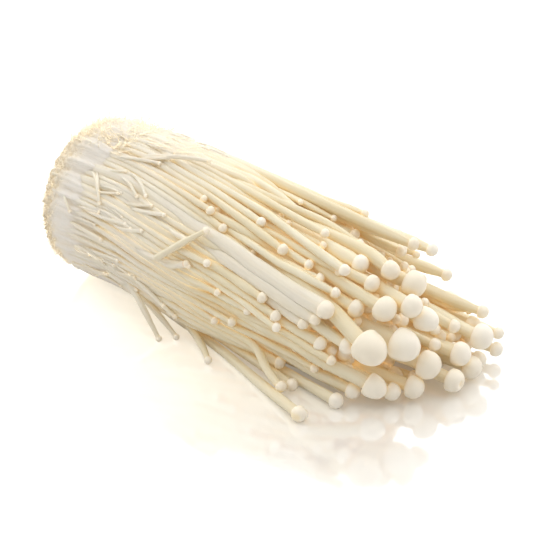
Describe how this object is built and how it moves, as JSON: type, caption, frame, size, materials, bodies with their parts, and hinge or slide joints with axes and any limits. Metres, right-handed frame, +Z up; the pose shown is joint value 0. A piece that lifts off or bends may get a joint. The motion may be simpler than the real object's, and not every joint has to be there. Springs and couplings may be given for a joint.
{
  "type": "enoki mushroom bunch",
  "caption": "Bunch of long thin enoki mushrooms lying on its side: a fused foot at one end, small round caps at the other.",
  "frame": {"origin": "on the surface that the bunch lies on, under the middle of its bounding box", "axes": "+X along the bunch from the cut foot to the caps, +Z up, +Y across it"},
  "size_m": [0.1309, 0.062, 0.0475],
  "materials": {
    "mushroom": "satin",
    "foot": "matte"
  },
  "bodies": {
    "root": {"base_clump": "foot", "far_mushroom_01": "mushroom", "far_mushroom_02": "mushroom", "far_mushroom_03": "mushroom", "far_mushroom_04": "mushroom", "far_mushroom_05": "mushroom", "far_mushroom_06": "mushroom", "far_mushroom_07": "mushroom", "far_mushroom_08": "mushroom", "far_mushroom_09": "mushroom", "far_mushroom_10": "mushroom", "far_mushroom_11": "mushroom", "front_mushroom_01": "mushroom", "front_mushroom_02": "mushroom", "front_mushroom_03": "mushroom", "front_mushroom_04": "mushroom", "front_mushroom_05": "mushroom", "front_mushroom_06": "mushroom", "front_mushroom_07": "mushroom", "front_mushroom_08": "mushroom", "front_mushroom_09": "mushroom", "front_mushroom_10": "mushroom", "front_mushroom_11": "mushroom", "front_mushroom_12": "mushroom", "front_mushroom_13": "mushroom", "front_mushroom_14": "mushroom", "front_mushroom_15": "mushroom", "front_mushroom_16": "mushroom", "front_mushroom_17": "mushroom", "front_mushroom_18": "mushroom", "front_mushroom_19": "mushroom", "front_mushroom_20": "mushroom", "front_mushroom_21": "mushroom", "front_mushroom_22": "mushroom", "front_mushroom_23": "mushroom", "front_mushroom_24": "mushroom", "loose_stem": "mushroom", "ribbon_mushroom_1": "mushroom", "ribbon_mushroom_2": "mushroom", "ribbon_mushroom_3": "mushroom", "short_mushroom_01": "mushroom", "short_mushroom_02": "mushroom", "short_mushroom_03": "mushroom", "short_mushroom_04": "mushroom", "short_mushroom_05": "mushroom", "short_mushroom_06": "mushroom", "short_mushroom_07": "mushroom", "short_mushroom_08": "mushroom", "short_mushroom_09": "mushroom", "short_mushroom_10": "mushroom", "splayed_mushroom_1": "mushroom", "splayed_mushroom_2": "mushroom", "splayed_mushroom_3": "mushroom", "splayed_mushroom_4": "mushroom", "splayed_mushroom_5": "mushroom", "splayed_mushroom_6": "mushroom", "top_mushroom_1": "mushroom", "top_mushroom_2": "mushroom", "top_mushroom_3": "mushroom", "top_mushroom_4": "mushroom"}
  },
  "joints": []
}
